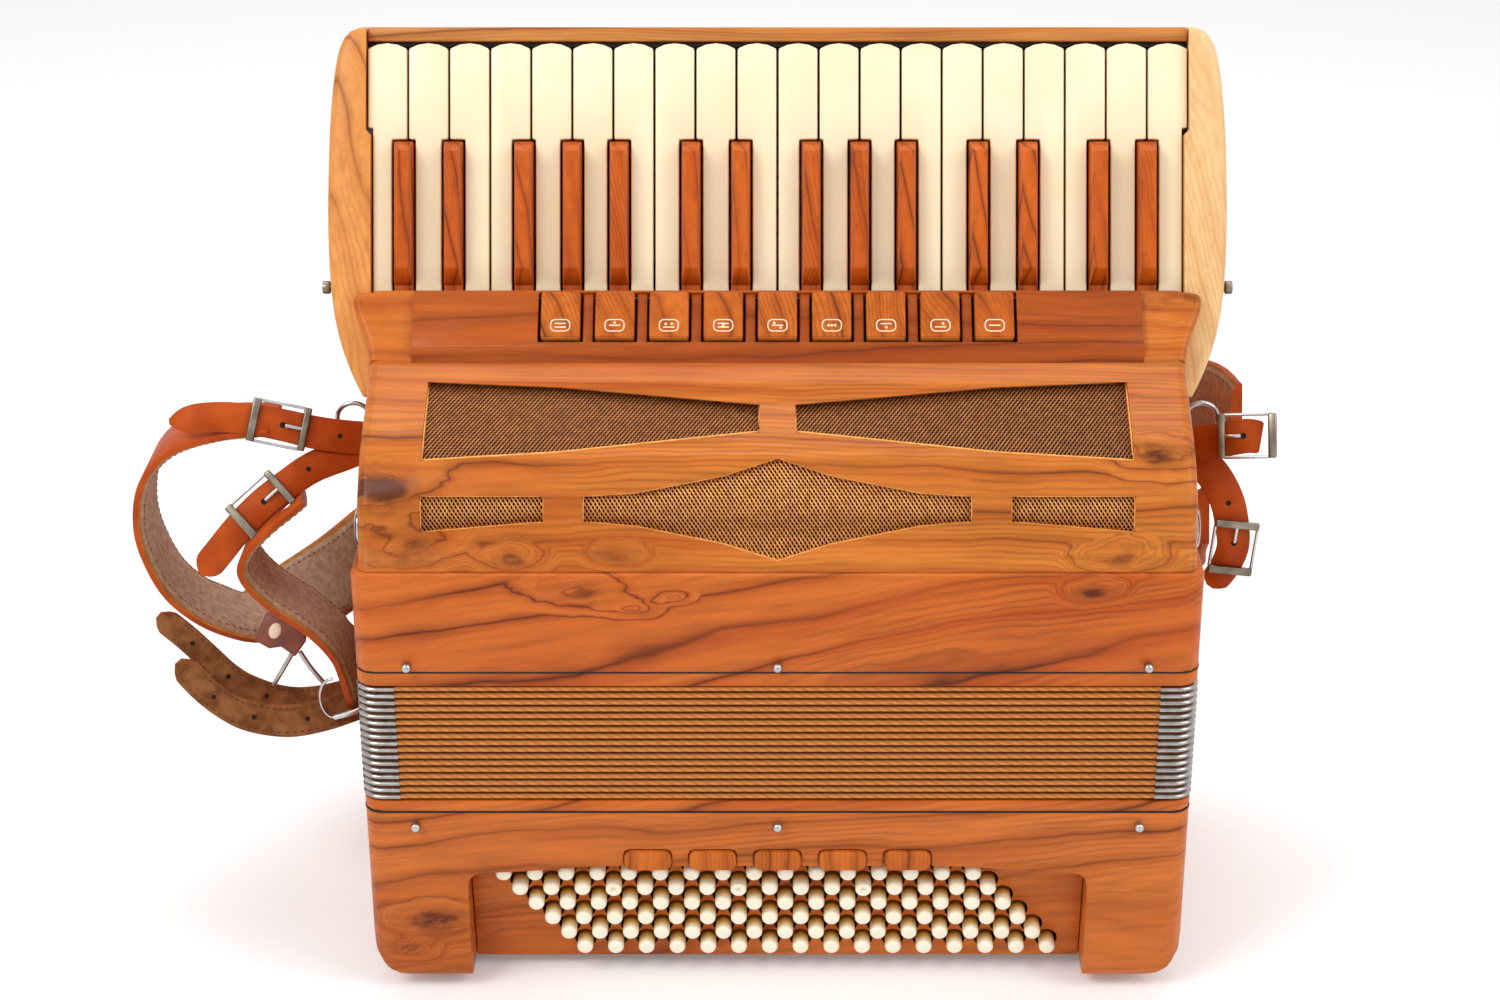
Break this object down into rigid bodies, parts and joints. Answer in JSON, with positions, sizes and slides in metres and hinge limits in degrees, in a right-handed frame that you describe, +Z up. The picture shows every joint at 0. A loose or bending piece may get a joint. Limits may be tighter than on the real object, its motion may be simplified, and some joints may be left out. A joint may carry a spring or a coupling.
{
  "type": "piano accordion",
  "caption": "Wooden piano accordion standing on its bass end: sliding treble end over folded bellows, hinged piano keys, button board, register tabs and leather shoulder straps.",
  "frame": {"origin": "on the floor, under the middle of the whole instrument's box, shoulder straps included", "axes": "+Z up through the bellows to the keyboard, +X along the keyboard to the viewer's right, +Y from the grille to the back"},
  "size_m": [0.53, 0.2124, 0.4219],
  "materials": {
    "olive_wood": "gloss",
    "pale_wood": "gloss",
    "dark_wood": "gloss",
    "ivory_plastic": "gloss",
    "button_plastic": "gloss",
    "gold_mesh": "satin",
    "steel": "gloss",
    "strap_leather": "satin",
    "bellows_cloth": "satin"
  },
  "bodies": {
    "bass_end": {"bass_case": "olive_wood", "bass_button_board": "olive_wood", "bass_hand_strap": "strap_leather", "bellows_frame_bass": "olive_wood", "bellows": "bellows_cloth"},
    "treble_end": {"treble_case": "olive_wood", "bellows_frame_treble": "olive_wood", "grille_cover": "olive_wood", "grille_mesh": "gold_mesh", "keyboard_bed": "olive_wood", "keyboard_cheek_left": "olive_wood", "keyboard_cheek_right": "pale_wood", "key_axle": "steel", "strap_bracket_left": "steel", "strap_bracket_right": "steel", "shoulder_strap_upper": "strap_leather", "shoulder_strap_lower": "strap_leather"},
    "bass_button_row_1": {"bass_button_row_1": "button_plastic"},
    "bass_button_row_2": {"bass_button_row_2": "button_plastic"},
    "bass_button_row_3": {"bass_button_row_3": "button_plastic"},
    "bass_button_row_4": {"bass_button_row_4": "button_plastic"},
    "bass_button_row_5": {"bass_button_row_5": "button_plastic"},
    "bass_button_row_6": {"bass_button_row_6": "button_plastic"},
    "bass_registers": {"bass_registers": "olive_wood"},
    "air_button": {"air_button": "steel"},
    "treble_registers": {"treble_registers": "olive_wood"},
    "white_key_01": {"white_key_01": "ivory_plastic"},
    "white_key_02": {"white_key_02": "ivory_plastic"},
    "white_key_03": {"white_key_03": "ivory_plastic"},
    "white_key_04": {"white_key_04": "ivory_plastic"},
    "white_key_05": {"white_key_05": "ivory_plastic"},
    "white_key_06": {"white_key_06": "ivory_plastic"},
    "white_key_07": {"white_key_07": "ivory_plastic"},
    "white_key_08": {"white_key_08": "ivory_plastic"},
    "white_key_09": {"white_key_09": "ivory_plastic"},
    "white_key_10": {"white_key_10": "ivory_plastic"},
    "white_key_11": {"white_key_11": "ivory_plastic"},
    "white_key_12": {"white_key_12": "ivory_plastic"},
    "white_key_13": {"white_key_13": "ivory_plastic"},
    "white_key_14": {"white_key_14": "ivory_plastic"},
    "white_key_15": {"white_key_15": "ivory_plastic"},
    "white_key_16": {"white_key_16": "ivory_plastic"},
    "white_key_17": {"white_key_17": "ivory_plastic"},
    "white_key_18": {"white_key_18": "ivory_plastic"},
    "white_key_19": {"white_key_19": "ivory_plastic"},
    "white_key_20": {"white_key_20": "ivory_plastic"},
    "black_key_01": {"black_key_01": "dark_wood"},
    "black_key_02": {"black_key_02": "dark_wood"},
    "black_key_03": {"black_key_03": "dark_wood"},
    "black_key_04": {"black_key_04": "dark_wood"},
    "black_key_05": {"black_key_05": "dark_wood"},
    "black_key_06": {"black_key_06": "dark_wood"},
    "black_key_07": {"black_key_07": "dark_wood"},
    "black_key_08": {"black_key_08": "dark_wood"},
    "black_key_09": {"black_key_09": "dark_wood"},
    "black_key_10": {"black_key_10": "dark_wood"},
    "black_key_11": {"black_key_11": "dark_wood"},
    "black_key_12": {"black_key_12": "dark_wood"},
    "black_key_13": {"black_key_13": "dark_wood"},
    "black_key_14": {"black_key_14": "dark_wood"}
  },
  "joints": [
    {"name": "bellows_travel", "type": "slide", "parent": "bass_end", "child": "treble_end", "axis": [0, 0, 1], "range_m": [0, 0.25], "deforming": ["bellows"]},
    {"name": "bass_button_row_1_press", "type": "slide", "parent": "bass_end", "child": "bass_button_row_1", "axis": [0, 0.9914, 0.1305], "range_m": [0, 0.0035], "stiffness_N_per_m": 300, "springref_m": -0.004},
    {"name": "bass_button_row_2_press", "type": "slide", "parent": "bass_end", "child": "bass_button_row_2", "axis": [0, 0.9914, 0.1305], "range_m": [0, 0.0035], "stiffness_N_per_m": 300, "springref_m": -0.004},
    {"name": "bass_button_row_3_press", "type": "slide", "parent": "bass_end", "child": "bass_button_row_3", "axis": [0, 0.9914, 0.1305], "range_m": [0, 0.0035], "stiffness_N_per_m": 300, "springref_m": -0.004},
    {"name": "bass_button_row_4_press", "type": "slide", "parent": "bass_end", "child": "bass_button_row_4", "axis": [0, 0.9914, 0.1305], "range_m": [0, 0.0035], "stiffness_N_per_m": 300, "springref_m": -0.004},
    {"name": "bass_button_row_5_press", "type": "slide", "parent": "bass_end", "child": "bass_button_row_5", "axis": [0, 0.9914, 0.1305], "range_m": [0, 0.0035], "stiffness_N_per_m": 300, "springref_m": -0.004},
    {"name": "bass_button_row_6_press", "type": "slide", "parent": "bass_end", "child": "bass_button_row_6", "axis": [0, 0.9914, 0.1305], "range_m": [0, 0.0035], "stiffness_N_per_m": 300, "springref_m": -0.004},
    {"name": "bass_registers_press", "type": "slide", "parent": "bass_end", "child": "bass_registers", "axis": [0, 1, 0], "range_m": [0, 0.002], "stiffness_N_per_m": 400, "springref_m": -0.003},
    {"name": "air_button_press", "type": "slide", "parent": "bass_end", "child": "air_button", "axis": [0, -1, 0], "range_m": [0, 0.0025], "stiffness_N_per_m": 400, "springref_m": -0.003},
    {"name": "treble_registers_press", "type": "slide", "parent": "treble_end", "child": "treble_registers", "axis": [0, 0.7083, -0.7059], "range_m": [0, 0.002], "stiffness_N_per_m": 400, "springref_m": -0.004},
    {"name": "white_key_01_press", "type": "hinge", "parent": "treble_end", "child": "white_key_01", "pos_m": [0.03849, 0.00808, 0.29512], "axis": [-1, 0, 0], "range_deg": [0, 2.2], "stiffness_Nm_per_rad": 1, "springref_deg": -3.44},
    {"name": "white_key_02_press", "type": "hinge", "parent": "treble_end", "child": "white_key_02", "pos_m": [0.03849, 0.00808, 0.29512], "axis": [-1, 0, 0], "range_deg": [0, 2.2], "stiffness_Nm_per_rad": 1, "springref_deg": -3.44},
    {"name": "white_key_03_press", "type": "hinge", "parent": "treble_end", "child": "white_key_03", "pos_m": [0.03849, 0.00808, 0.29512], "axis": [-1, 0, 0], "range_deg": [0, 2.2], "stiffness_Nm_per_rad": 1, "springref_deg": -3.44},
    {"name": "white_key_04_press", "type": "hinge", "parent": "treble_end", "child": "white_key_04", "pos_m": [0.03849, 0.00808, 0.29512], "axis": [-1, 0, 0], "range_deg": [0, 2.2], "stiffness_Nm_per_rad": 1, "springref_deg": -3.44},
    {"name": "white_key_05_press", "type": "hinge", "parent": "treble_end", "child": "white_key_05", "pos_m": [0.03849, 0.00808, 0.29512], "axis": [-1, 0, 0], "range_deg": [0, 2.2], "stiffness_Nm_per_rad": 1, "springref_deg": -3.44},
    {"name": "white_key_06_press", "type": "hinge", "parent": "treble_end", "child": "white_key_06", "pos_m": [0.03849, 0.00808, 0.29512], "axis": [-1, 0, 0], "range_deg": [0, 2.2], "stiffness_Nm_per_rad": 1, "springref_deg": -3.44},
    {"name": "white_key_07_press", "type": "hinge", "parent": "treble_end", "child": "white_key_07", "pos_m": [0.03849, 0.00808, 0.29512], "axis": [-1, 0, 0], "range_deg": [0, 2.2], "stiffness_Nm_per_rad": 1, "springref_deg": -3.44},
    {"name": "white_key_08_press", "type": "hinge", "parent": "treble_end", "child": "white_key_08", "pos_m": [0.03849, 0.00808, 0.29512], "axis": [-1, 0, 0], "range_deg": [0, 2.2], "stiffness_Nm_per_rad": 1, "springref_deg": -3.44},
    {"name": "white_key_09_press", "type": "hinge", "parent": "treble_end", "child": "white_key_09", "pos_m": [0.03849, 0.00808, 0.29512], "axis": [-1, 0, 0], "range_deg": [0, 2.2], "stiffness_Nm_per_rad": 1, "springref_deg": -3.44},
    {"name": "white_key_10_press", "type": "hinge", "parent": "treble_end", "child": "white_key_10", "pos_m": [0.03849, 0.00808, 0.29512], "axis": [-1, 0, 0], "range_deg": [0, 2.2], "stiffness_Nm_per_rad": 1, "springref_deg": -3.44},
    {"name": "white_key_11_press", "type": "hinge", "parent": "treble_end", "child": "white_key_11", "pos_m": [0.03849, 0.00808, 0.29512], "axis": [-1, 0, 0], "range_deg": [0, 2.2], "stiffness_Nm_per_rad": 1, "springref_deg": -3.44},
    {"name": "white_key_12_press", "type": "hinge", "parent": "treble_end", "child": "white_key_12", "pos_m": [0.03849, 0.00808, 0.29512], "axis": [-1, 0, 0], "range_deg": [0, 2.2], "stiffness_Nm_per_rad": 1, "springref_deg": -3.44},
    {"name": "white_key_13_press", "type": "hinge", "parent": "treble_end", "child": "white_key_13", "pos_m": [0.03849, 0.00808, 0.29512], "axis": [-1, 0, 0], "range_deg": [0, 2.2], "stiffness_Nm_per_rad": 1, "springref_deg": -3.44},
    {"name": "white_key_14_press", "type": "hinge", "parent": "treble_end", "child": "white_key_14", "pos_m": [0.03849, 0.00808, 0.29512], "axis": [-1, 0, 0], "range_deg": [0, 2.2], "stiffness_Nm_per_rad": 1, "springref_deg": -3.44},
    {"name": "white_key_15_press", "type": "hinge", "parent": "treble_end", "child": "white_key_15", "pos_m": [0.03849, 0.00808, 0.29512], "axis": [-1, 0, 0], "range_deg": [0, 2.2], "stiffness_Nm_per_rad": 1, "springref_deg": -3.44},
    {"name": "white_key_16_press", "type": "hinge", "parent": "treble_end", "child": "white_key_16", "pos_m": [0.03849, 0.00808, 0.29512], "axis": [-1, 0, 0], "range_deg": [0, 2.2], "stiffness_Nm_per_rad": 1, "springref_deg": -3.44},
    {"name": "white_key_17_press", "type": "hinge", "parent": "treble_end", "child": "white_key_17", "pos_m": [0.03849, 0.00808, 0.29512], "axis": [-1, 0, 0], "range_deg": [0, 2.2], "stiffness_Nm_per_rad": 1, "springref_deg": -3.44},
    {"name": "white_key_18_press", "type": "hinge", "parent": "treble_end", "child": "white_key_18", "pos_m": [0.03849, 0.00808, 0.29512], "axis": [-1, 0, 0], "range_deg": [0, 2.2], "stiffness_Nm_per_rad": 1, "springref_deg": -3.44},
    {"name": "white_key_19_press", "type": "hinge", "parent": "treble_end", "child": "white_key_19", "pos_m": [0.03849, 0.00808, 0.29512], "axis": [-1, 0, 0], "range_deg": [0, 2.2], "stiffness_Nm_per_rad": 1, "springref_deg": -3.44},
    {"name": "white_key_20_press", "type": "hinge", "parent": "treble_end", "child": "white_key_20", "pos_m": [0.03849, 0.00808, 0.29512], "axis": [-1, 0, 0], "range_deg": [0, 2.2], "stiffness_Nm_per_rad": 1, "springref_deg": -3.44},
    {"name": "black_key_01_press", "type": "hinge", "parent": "treble_end", "child": "black_key_01", "pos_m": [0.03849, 0.00808, 0.29512], "axis": [-1, 0, 0], "range_deg": [0, 2.2], "stiffness_Nm_per_rad": 1, "springref_deg": -3.44},
    {"name": "black_key_02_press", "type": "hinge", "parent": "treble_end", "child": "black_key_02", "pos_m": [0.03849, 0.00808, 0.29512], "axis": [-1, 0, 0], "range_deg": [0, 2.2], "stiffness_Nm_per_rad": 1, "springref_deg": -3.44},
    {"name": "black_key_03_press", "type": "hinge", "parent": "treble_end", "child": "black_key_03", "pos_m": [0.03849, 0.00808, 0.29512], "axis": [-1, 0, 0], "range_deg": [0, 2.2], "stiffness_Nm_per_rad": 1, "springref_deg": -3.44},
    {"name": "black_key_04_press", "type": "hinge", "parent": "treble_end", "child": "black_key_04", "pos_m": [0.03849, 0.00808, 0.29512], "axis": [-1, 0, 0], "range_deg": [0, 2.2], "stiffness_Nm_per_rad": 1, "springref_deg": -3.44},
    {"name": "black_key_05_press", "type": "hinge", "parent": "treble_end", "child": "black_key_05", "pos_m": [0.03849, 0.00808, 0.29512], "axis": [-1, 0, 0], "range_deg": [0, 2.2], "stiffness_Nm_per_rad": 1, "springref_deg": -3.44},
    {"name": "black_key_06_press", "type": "hinge", "parent": "treble_end", "child": "black_key_06", "pos_m": [0.03849, 0.00808, 0.29512], "axis": [-1, 0, 0], "range_deg": [0, 2.2], "stiffness_Nm_per_rad": 1, "springref_deg": -3.44},
    {"name": "black_key_07_press", "type": "hinge", "parent": "treble_end", "child": "black_key_07", "pos_m": [0.03849, 0.00808, 0.29512], "axis": [-1, 0, 0], "range_deg": [0, 2.2], "stiffness_Nm_per_rad": 1, "springref_deg": -3.44},
    {"name": "black_key_08_press", "type": "hinge", "parent": "treble_end", "child": "black_key_08", "pos_m": [0.03849, 0.00808, 0.29512], "axis": [-1, 0, 0], "range_deg": [0, 2.2], "stiffness_Nm_per_rad": 1, "springref_deg": -3.44},
    {"name": "black_key_09_press", "type": "hinge", "parent": "treble_end", "child": "black_key_09", "pos_m": [0.03849, 0.00808, 0.29512], "axis": [-1, 0, 0], "range_deg": [0, 2.2], "stiffness_Nm_per_rad": 1, "springref_deg": -3.44},
    {"name": "black_key_10_press", "type": "hinge", "parent": "treble_end", "child": "black_key_10", "pos_m": [0.03849, 0.00808, 0.29512], "axis": [-1, 0, 0], "range_deg": [0, 2.2], "stiffness_Nm_per_rad": 1, "springref_deg": -3.44},
    {"name": "black_key_11_press", "type": "hinge", "parent": "treble_end", "child": "black_key_11", "pos_m": [0.03849, 0.00808, 0.29512], "axis": [-1, 0, 0], "range_deg": [0, 2.2], "stiffness_Nm_per_rad": 1, "springref_deg": -3.44},
    {"name": "black_key_12_press", "type": "hinge", "parent": "treble_end", "child": "black_key_12", "pos_m": [0.03849, 0.00808, 0.29512], "axis": [-1, 0, 0], "range_deg": [0, 2.2], "stiffness_Nm_per_rad": 1, "springref_deg": -3.44},
    {"name": "black_key_13_press", "type": "hinge", "parent": "treble_end", "child": "black_key_13", "pos_m": [0.03849, 0.00808, 0.29512], "axis": [-1, 0, 0], "range_deg": [0, 2.2], "stiffness_Nm_per_rad": 1, "springref_deg": -3.44},
    {"name": "black_key_14_press", "type": "hinge", "parent": "treble_end", "child": "black_key_14", "pos_m": [0.03849, 0.00808, 0.29512], "axis": [-1, 0, 0], "range_deg": [0, 2.2], "stiffness_Nm_per_rad": 1, "springref_deg": -3.44}
  ]
}
